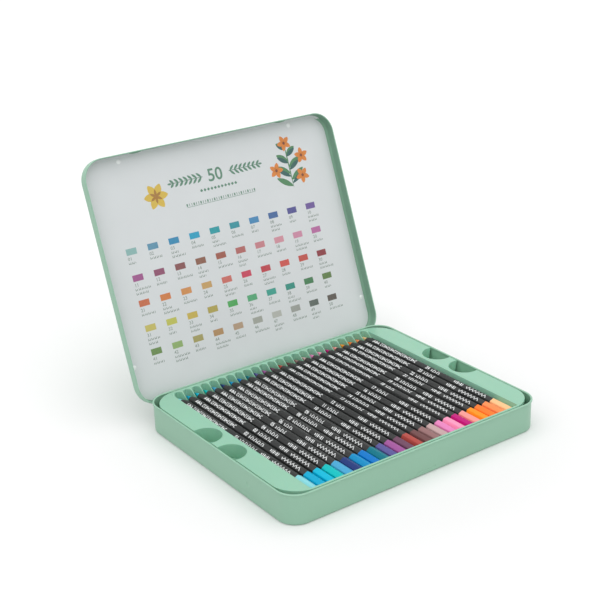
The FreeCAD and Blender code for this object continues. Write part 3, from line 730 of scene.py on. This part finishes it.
def trough_section(axis, top, pitch, y):
    """Half of one trough across its length at y, from its middle out to the ridge."""
    scale = pitch / nominal_pitch
    wide = trough_radius * scale
    if y > pocket_turn:
        wide = math.sqrt(max(0, pocket_radius**2 - (y - pocket_turn) ** 2)) * scale
    elif y > slope_foot:
        reach = (y - slope_foot) / (pocket_turn - slope_foot)
        wide = (trough_radius + (pocket_radius - trough_radius) * reach) * scale
    climb = min(1, max(0, (y - slope_foot) / (slope_head - slope_foot)))
    climb = climb * climb * (3 - 2 * climb) * 0.5 + climb * 0.5
    low = axis - 0.0006
    ridge = low + (top - low) * climb
    bed = axis - 0.0039
    edge = pitch / 2
    wide = min(wide, edge - 0.00012)
    points = []
    for step in range(9):
        turn = math.radians(90 * step / 8)
        points.append((wide * math.sin(turn), min(bed + wide * (1 - math.cos(turn)), ridge - 0.0001)))
    soft = min(0.00048, edge - wide, ridge - bed)
    for step in range(5):
        turn = math.radians(90 * step / 4)
        points.append((wide + soft * (1 - math.cos(turn)), ridge - soft * (1 - math.sin(turn))))
    points.append((edge, ridge))
    return points


def draw_up():
    """Draw the active flat shape up through the levels of the flare, set a whole unit apart."""
    bpy.ops.object.mode_set(mode="EDIT")
    for level in range(len(flare) - 1):
        pick("FACE", lambda face: lies_at(face, 2, level))
        bpy.ops.mesh.extrude_region_move(TRANSFORM_OT_translate={"value": (0, 0, 1)})
    bpy.ops.mesh.select_all(action="SELECT")
    bpy.ops.mesh.normals_make_consistent(inside=False)
    bpy.ops.object.mode_set(mode="OBJECT")


def rail_frame(name, axis, top, foot, half, draft, notches):
    """The tray's block with its bay and its finger notches cut out, open underneath."""
    tray = add_block(
        name,
        (0, (tray_front + tray_back) / 2, (top + foot) / 2),
        (2 * tray_half_width, tray_back - tray_front, top - foot),
    )
    bpy.ops.object.mode_set(mode="EDIT")
    pick("EDGE", lambda edge: runs_along(edge, 2))
    bpy.ops.mesh.bevel(offset=tray_corner, segments=24, affect="EDGES")
    pick("EDGE", lambda edge: lies_at(edge, 2, top))
    bpy.ops.mesh.bevel(offset=lip, segments=4, affect="EDGES")
    bpy.ops.object.mode_set(mode="OBJECT")
    for vertex in tray.data.vertices:
        if vertex.co.z > axis:
            vertex.co.x *= 1 + draft / tray_half_width

    # The cutters flare at the top, which leaves a rounded lip. The bay's sides lean, and its back
    # is left square for the sloped wall.
    bpy.ops.object.select_all(action="DESELECT")
    bpy.ops.mesh.primitive_plane_add(size=1)
    bay = bpy.context.object
    draw_up()
    for vertex in bay.data.vertices:
        out, rise = flare[round(vertex.co.z)]
        wide = half + bay_lean * (min(top + rise, top) - axis) + out
        deep = bay_back if vertex.co.y > 0 else bay_front - out
        vertex.co = (math.copysign(wide, vertex.co.x), deep, top + rise)
    carve(tray, bay)
    for side, end in ((-1, -1), (-1, 1), (1, -1), (1, 1)) if notches else ():
        bpy.ops.object.select_all(action="DESELECT")
        bpy.ops.mesh.primitive_circle_add(vertices=96, radius=notch_radius, fill_type="NGON")
        notch = bpy.context.object
        draw_up()
        for vertex in notch.data.vertices:
            out, rise = flare[round(vertex.co.z)]
            grow = 1 + out / notch_radius
            x, y = vertex.co.xy * grow
            vertex.co = (side * notch_x + x, end * notch_y + y, top + rise)
        carve(tray, notch)
    take(tray)
    bpy.ops.object.mode_set(mode="EDIT")
    pick("FACE", lambda face: face.normal.z < -0.99)
    bpy.ops.mesh.delete(type="FACE")
    bpy.ops.object.mode_set(mode="OBJECT")
    return tray


def trough_floor(axis, top, half, pitch, count):
    """One trough drawn as a grid, bent to its section at each place, and repeated side by side."""
    places = [bay_front, -0.03, 0.03, 0.070, 0.0755, slope_foot]
    places += [slope_foot + (pocket_turn - slope_foot) * step / 9 for step in range(1, 10)]
    places += [pocket_turn + pocket_radius * math.sin(math.radians(9 * step)) for step in range(1, 11)]
    places += [bay_back]
    across = 29
    bpy.ops.object.select_all(action="DESELECT")
    bpy.ops.mesh.primitive_grid_add(x_subdivisions=across - 1, y_subdivisions=len(places) - 1, size=1)
    floor = bpy.context.object
    for row, y in enumerate(places):
        section = trough_section(axis, top, pitch, y)
        line = [(-x, z) for x, z in reversed(section[1:])] + section
        for column, (x, z) in enumerate(line):
            floor.data.vertices[row * across + column].co = (x + pitch / 2 - half, y, z)
    row_of = floor.modifiers.new("side_by_side", "ARRAY")
    row_of.count = count
    row_of.use_relative_offset = False
    row_of.use_constant_offset = True
    row_of.constant_offset_displace = (pitch, 0, 0)
    row_of.use_merge_vertices = True
    row_of.merge_threshold = 0.00001
    bpy.ops.object.modifier_apply(modifier=row_of.name)

    # Its two side edges are drawn out to the leaning walls of the bay.
    bpy.ops.object.mode_set(mode="EDIT")
    for side in (-1, 1):
        pick("EDGE", lambda edge: edge.is_boundary and lies_at(edge, 0, side * half))
        bpy.ops.mesh.extrude_region_move(TRANSFORM_OT_translate={"value": (side * 0.0007, 0, -0.00003)})
    bpy.ops.mesh.select_all(action="SELECT")
    bpy.ops.mesh.normals_make_consistent(inside=False)
    bpy.ops.object.mode_set(mode="OBJECT")
    if sum(face.normal.z * face.area for face in floor.data.polygons) < 0:
        floor.data.flip_normals()
    return floor


def moulded_tray(name, axis, top, foot, pitch, count, draft, notches):
    """A rail frame round an open bay, and the scalloped trough floor that fills the bay."""
    half = pitch * count / 2
    tray = rail_frame(name, axis, top, foot, half, draft, notches)
    take(trough_floor(axis, top, half, pitch, count), tray)
    bpy.ops.object.join()
    bpy.ops.object.mode_set(mode="EDIT")
    bpy.ops.mesh.select_all(action="SELECT")
    bpy.ops.mesh.remove_doubles(threshold=0.000004)
    bpy.ops.object.mode_set(mode="OBJECT")
    thicken(tray, tray_wall)
    bpy.ops.object.shade_smooth_by_angle(angle=math.radians(38))
    return tray


upper_axis = 0.018201
upper_pitch = 0.007701
upper_count = 24
upper_tray = moulded_tray(
    "upper_pencil_tray", axis=upper_axis, top=0.02350, foot=0.012451, pitch=upper_pitch,
    count=upper_count, draft=0.0015, notches=True,
)
upper_tray.data.materials.append(mint_plastic("mint_plastic", (0.282, 0.560, 0.405)))
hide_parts("upper_tray")
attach(upper_tray, "upper_tray")

lower_axis = 0.007901
lower_pitch = 0.00715
lower_count = 26
lower_tray = moulded_tray(
    "lower_pencil_tray", axis=lower_axis, top=0.012401, foot=0.00045, pitch=lower_pitch,
    count=lower_count, draft=0.0, notches=False,
)
# The lower tray is the same plastic, given a darker colour: painted shade for where it lies under the
# upper tray.
lower_tray.data.materials.append(mint_plastic("mint_plastic_below_painted_shade", (0.255, 0.510, 0.365)))
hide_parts("lower_tray")
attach(lower_tray, "lower_tray")

# --- Upper pencils: casings ----------------------------------------------------------------------
# Twenty-four hexagonal pencils of black-stained wood, lacquered matt black, 175 mm long and 6.6 mm
# across the flats. The sharpener's cone bites back further on the flats than on the edges.
pencil_corner = 0.0066 / math.sqrt(3)
pencil_length = 0.175
shoulder = pencil_length - 0.0059
pencil_front = -0.0886
core_radius = 0.00195
blank_radius = 0.0048
blank_length = 0.10
wood_smooth_below = math.radians(28)
along_y = Matrix.Rotation(math.radians(-90), 4, "X")
rolls = (
    *(-30, -23, -22, -30, -30, -36, -35, -27, -38, -23, -29, -22),
    *(-3, -11, -19, -23, -22, -3, -8, -22, -10, -25, -21, -20),
)


def ramp(tree, factor, *stops):
    """A colour looked up on a ramp of stops, each one its place and its colour."""
    node = add_node(tree, "ValToRGB", {"Fac": factor})
    elements = node.color_ramp.elements
    elements[0].position, elements[0].color = stops[0]
    elements[1].position, elements[1].color = stops[-1]
    for place, colour in stops[1:-1]:
        elements.new(place).color = colour
    return node.outputs["Color"]


def hexagonal_stick(name, corner, long, rounding):
    """A hexagonal stick along +Y from the origin, its long edges rounded."""
    bpy.ops.object.select_all(action="DESELECT")
    bpy.ops.mesh.primitive_cylinder_add(vertices=6, radius=corner, depth=long)
    stick = bpy.context.object
    stick.name = name
    flat_up = Matrix.Rotation(math.radians(30), 4, "Z")
    stick.data.transform(Matrix.Translation((0, long / 2, 0)) @ along_y @ flat_up)
    bpy.ops.object.mode_set(mode="EDIT")
    pick("EDGE", lambda edge: runs_along(edge, 1))
    bpy.ops.mesh.bevel(offset=rounding, segments=3, affect="EDGES")
    bpy.ops.object.mode_set(mode="OBJECT")
    return stick


matt_black, tree, shader, place = start_material("matt_black_lacquer", {"Specular IOR Level": 0.42})
rub = noise(tree, place, 90)
wood_grain = noise(tree, stretch(tree, place, (1, 0.06, 1)), 1400, 4)
fill(shader, {
    "Base Color": blend(tree, rub, (0.010, 0.011, 0.011, 1), (0.022, 0.023, 0.023, 1)),
    "Roughness": spread(tree, rub, 0.40, 0.56),
    "Normal": relief(tree, wood_grain, 0.30, 0.00003),
})
stained_wood, tree, shader, place = start_material("black_stained_wood", {"Roughness": 0.78})
wood_grain = noise(tree, stretch(tree, place, (1, 0.12, 1)), 2600, 5)
dark_stain = (0, (0.012, 0.011, 0.011, 1))
pale_stain = (1, (0.060, 0.056, 0.053, 1))
fill(shader, {
    "Base Color": ramp(tree, wood_grain, dark_stain, pale_stain),
    "Normal": relief(tree, wood_grain, 0.5, 0.00004),
})

# The stick is turned down by a blank with a coned end. The blank only reaches part of the way back,
# so the cut end is drawn out to the pencil's foot.
casing = hexagonal_stick("pencil_casing", pencil_corner, pencil_length, 0.00042)
bpy.ops.object.select_all(action="DESELECT")
bpy.ops.mesh.primitive_cylinder_add(
    vertices=48, radius=blank_radius, depth=blank_length, end_fill_type="NGON"
)
blank = bpy.context.object
taper = (pencil_corner - 0.0004) / 0.0130
cone_length = (blank_radius - core_radius) / taper
narrowing = core_radius / blank_radius
bpy.ops.object.mode_set(mode="EDIT")
pick("FACE", lambda face: face.normal.z > 0.99)
bpy.ops.mesh.extrude_region_move(TRANSFORM_OT_translate={"value": (0, 0, cone_length)})
bpy.ops.transform.resize(value=(narrowing, narrowing, 1), center_override=(0, 0, 0))
bpy.ops.object.mode_set(mode="OBJECT")
tip_to_origin = Matrix.Translation((0, 0, -cone_length - blank_length / 2))
blank.data.transform(Matrix.Translation((0, shoulder, 0)) @ along_y @ tip_to_origin)
carve(casing, blank, "INTERSECT")
for vertex in casing.data.vertices:
    if vertex.co.y < pencil_length / 2:
        vertex.co.y = 0.0004
casing.data.materials.append(matt_black)
casing.data.materials.append(stained_wood)
for face in casing.data.polygons:
    face.material_index = 1 if face.normal.y > 0.2 else 0
take(casing)
bpy.ops.object.shade_smooth_by_angle(angle=wood_smooth_below)

placed = []
for number, roll in enumerate(rolls):
    across = (number - (upper_count - 1) / 2) * upper_pitch
    stand = Matrix.Translation((across, pencil_front, upper_axis))
    placed.append(stand @ Matrix.Rotation(math.radians(roll), 4, "Y"))
for number, stand in enumerate(placed, 1):
    piece = place_copy(casing, f"pencil_{number:02d}_casing", stand)
    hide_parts(f"pencil_{number:02d}_barrel")
    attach(piece, f"pencil_{number:02d}")

# --- Upper pencils: cores and dips ---------------------------------------------------------------
# Each pencil's waxy core shows at its sharpened point, and its back end is dipped in lacquer of the
# same colour, which hangs slightly proud of the casing and rounds off the end.
bare_core = 0.0067
pencil_colours = (
    ("light_cyan", "8AD8E0"), ("blue_cyan", "00A8D0"), ("cyan", "00B8D8"), ("turquoise", "00C0C0"),
    ("mid_blue", "4CA8D4"), ("navy", "203878"), ("cerulean", "0890C8"), ("royal_blue", "0078C8"),
    ("teal", "007888"), ("blue_violet", "5C5898"), ("purple", "A4589C"), ("plum", "704860"),
    ("brick", "B04840"), ("dark_brown", "704848"), ("mauve_brown", "987070"), ("dusty_pink", "C8A8A8"),
    ("orchid", "E888C0"), ("pink", "FF9CC0"), ("magenta", "C00878"), ("salmon", "FFA098"),
    ("amber", "FF9820"), ("orange", "FF8030"), ("light_orange", "FF9458"), ("peach", "FFC890"),
)


def pencil_colour(name, code, gloss, blotch):
    """Pigment in wax, or the lacquer dip matched to it, mottled a little."""
    colour = linear_colour(code)
    finish, tree, shader, place = start_material(name, {"Specular IOR Level": 0.2})
    mottle = noise(tree, place, 900, 4)
    fill(shader, {
        "Base Color": blend(tree, mottle, tone(colour, 1 - blotch), tone(colour, 1 + blotch)),
        "Roughness": spread(tree, mottle, gloss, gloss + 0.14),
        "Normal": relief(tree, mottle, 0.3, 0.00003),
    })
    return finish


# The core: a bare cone whose tip is rubbed round.
bpy.ops.object.select_all(action="DESELECT")
bpy.ops.mesh.primitive_cone_add(vertices=32, radius1=core_radius, radius2=0.0004, depth=bare_core)
core = bpy.context.object
core.name = "pencil_core"
core.data.transform(Matrix.Translation((0, shoulder + bare_core / 2, 0)) @ along_y)
bpy.ops.object.mode_set(mode="EDIT")
pick("EDGE", lambda edge: lies_at(edge, 1, shoulder + bare_core))
bpy.ops.mesh.bevel(offset=0.00026, segments=4, affect="EDGES")
pick("FACE", lambda face: face.normal.y < -0.9)
bpy.ops.mesh.extrude_region_move(TRANSFORM_OT_translate={"value": (0, -0.001, 0)})
bpy.ops.object.mode_set(mode="OBJECT")
bpy.ops.object.shade_smooth_by_angle(angle=math.radians(40))

# The dip: a hexagonal cap a hair larger than the casing, with a rounded end.
dip = hexagonal_stick("pencil_dip", pencil_corner + 0.00004, 0.0206, 0.00045)
bpy.ops.object.mode_set(mode="EDIT")
pick("EDGE", lambda edge: lies_at(edge, 1, 0))
bpy.ops.mesh.bevel(offset=0.0007, segments=4, affect="EDGES")
bpy.ops.object.mode_set(mode="OBJECT")
bpy.ops.object.shade_smooth_by_angle(angle=wood_smooth_below)

for number, (stand, (name, code)) in enumerate(zip(placed, pencil_colours), 1):
    wax = pencil_colour(f"{name}_wax", code, 0.45, 0.10)
    lacquer = pencil_colour(f"{name}_lacquer", code, 0.34, 0.03)
    for part, master, finish in (("core", core, wax), ("dip", dip, lacquer)):
        piece = place_copy(master, f"pencil_{number:02d}_{part}", stand)
        piece.data.materials.append(finish)
        if part == "core":
            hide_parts(f"pencil_{number:02d}_lead")
        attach(piece, f"pencil_{number:02d}")

# --- Upper pencils: printing ---------------------------------------------------------------------
# Foil-white marks stamped on one face: a lozenge, a long row of ornaments, the pencil's number, a
# bar code of strokes and a wave, reading from the point towards the dip.
print_height = 0.0033 + 0.00003
middle = -pencil_front
lozenge_y = 0.0665

foil_white, tree, shader, place = start_material("stamped_white", {})
wear = noise(tree, place, 1600, 3)
worn = (0.22, (0.45, 0.46, 0.46, 1))
fresh = (0.45, (0.86, 0.88, 0.88, 1))
fill(shader, {"Base Color": ramp(tree, wear, worn, fresh), "Roughness": spread(tree, wear, 0.35, 0.55)})


def stamp(x, y, wide, long, turn=0):
    """One stroke of the stamp, measured from the pencil's middle, added to the mesh being edited."""
    printed_bar(1.25 * x, y + middle, 1.25 * wide, 1.3 * long, turn, print_height)


# The lozenge is an outline with a dot in it, between two ticked bars.
marks = start_ink("pencil_marks")
printed_bar(0, lozenge_y + middle, 0.0022, 0.0022, 45, print_height)
bpy.ops.mesh.select_mode(type="FACE")
bpy.ops.mesh.inset(thickness=0.0005)
bpy.ops.mesh.delete(type="FACE")
stamp(0, lozenge_y, 0.0007, 0.0007, 45)
for side in (-1, 1):
    stamp(0, lozenge_y + side * 0.0030, 0.0022, 0.0006, side * 30)
    stamp(-0.0004, lozenge_y + side * 0.0022, 0.0006, 0.0014, side * 20)

# The long row: bars, chevrons, crossed uprights and lozenges in turn. Each stroke is its place
# across and along, its width and length, and its turn.
bar = (0, 0, 0.0022, 0.00045, 0)
ornaments = (
    (bar, (0.0009, -0.0006, 0.00042, 0.0013, 0), (-0.0009, -0.0006, 0.00042, 0.0013, 0)),
    ((0.00055, -0.0003, 0.0014, 0.00045, 30), (-0.00055, -0.0003, 0.0014, 0.00045, -30)),
    (bar, (0, -0.0010, 0.0022, 0.00045, 0), (0, -0.0005, 0.00042, 0.0010, 0)),
    ((0, -0.0004, 0.0011, 0.0011, 45),),
)
for beat in range(21):
    for x, y, wide, long, turn in ornaments[beat % 4]:
        stamp(x, 0.0605 - beat * 0.0021 + y, wide, long, turn)

# A group of strokes near the middle, and a wave before the dip.
for step in range(6):
    stamp(0, -0.0278 - step * 0.0017, 0.0021 if step % 3 else 0.0013, 0.00050 if step % 2 else 0.0008)
for step in range(13):
    side = 1 if step % 2 else -1
    stamp(side * 0.0003, -0.0415 - step * 0.00165, 0.0019, 0.00046, side * 38)
bpy.ops.object.mode_set(mode="OBJECT")

# The number and the strokes after it are each pencil's own.
across_stick = Matrix.Rotation(math.radians(-90), 4, "Z")
number_stand = Matrix.Translation((-0.00130, middle + 0.0052, print_height)) @ across_stick
for number, stand in enumerate(placed, 1):
    figures = printed_text(
        f"{number:02d}", size=0.0040, bold=0.00010, smoothness=3, centred=False, stand=number_stand
    )
    bpy.ops.object.mode_set(mode="EDIT")
    for step in range(5 + (number * 5) % 6):
        side = 1 if step % 2 else -1
        stamp(side * 0.0002, -0.0018 - step * 0.0021, 0.0018, 0.00046, side * 28)
        stamp(-0.0009, -0.0018 - step * 0.0021, 0.00045, 0.0011 if (step + number) % 3 else 0.0006)
    bpy.ops.object.mode_set(mode="OBJECT")
    row = place_copy(marks, f"pencil_{number:02d}_marks", Matrix())
    take(figures, row)
    bpy.ops.object.join()
    row.data.transform(stand)
    row.data.materials.clear()
    row.data.materials.append(foil_white)
    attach(row, f"pencil_{number:02d}")

# --- Lower pencils -------------------------------------------------------------------------------
# The second layer: twenty-six more of the same pencils, lying edge up in the lower tray. Their cores
# and dips are coloured by where they lie across the tray.
lower_hues = (
    *("D8C838", "E8D060", "B8C838", "68B048", "2C8858", "3C6840"),
    *("7C8C50", "A08858", "8C6040", "584030", "888888", "303030"),
)
lower_wax, tree, shader, place = start_material("lower_layer_wax", {"Roughness": 0.42})
apart = add_node(tree, "SeparateXYZ", {"Vector": place})
from_side_to_side = {"Value": apart.outputs["X"], "From Min": -0.0930, "From Max": 0.0930}
along = add_node(tree, "MapRange", from_side_to_side).outputs["Result"]
last = len(lower_hues) - 1
stops = [(step / last, (*linear_colour(hue), 1)) for step, hue in enumerate(lower_hues)]
fill(shader, {
    "Base Color": ramp(tree, along, *stops),
    "Normal": relief(tree, noise(tree, place, 900), 1, 0.00003),
})

for name, master, node, slot, finish in (
    ("lower_casings", casing, "lower_barrels", "casing", None),
    ("lower_cores", core, "lower_leads", "lower_colours", lower_wax),
    ("lower_dips", dip, None, "lower_colours", lower_wax),
    ("lower_marks", marks, None, "casing", foil_white),
):
    row = []
    for number in range(lower_count):
        across = (number - (lower_count - 1) / 2) * lower_pitch
        stand = Matrix.Translation((across, pencil_front, lower_axis))
        row.append(place_copy(master, name, stand @ Matrix.Rotation(math.radians(30), 4, "Y")))
    take(*row)
    bpy.ops.object.join()
    piece = row[-1]
    piece.name = name
    if finish:
        piece.data.materials.clear()
        piece.data.materials.append(finish)
    if node:
        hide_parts(node)
    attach(piece, "lower_tray")
for master in (casing, core, dip, marks):
    bpy.data.objects.remove(master)
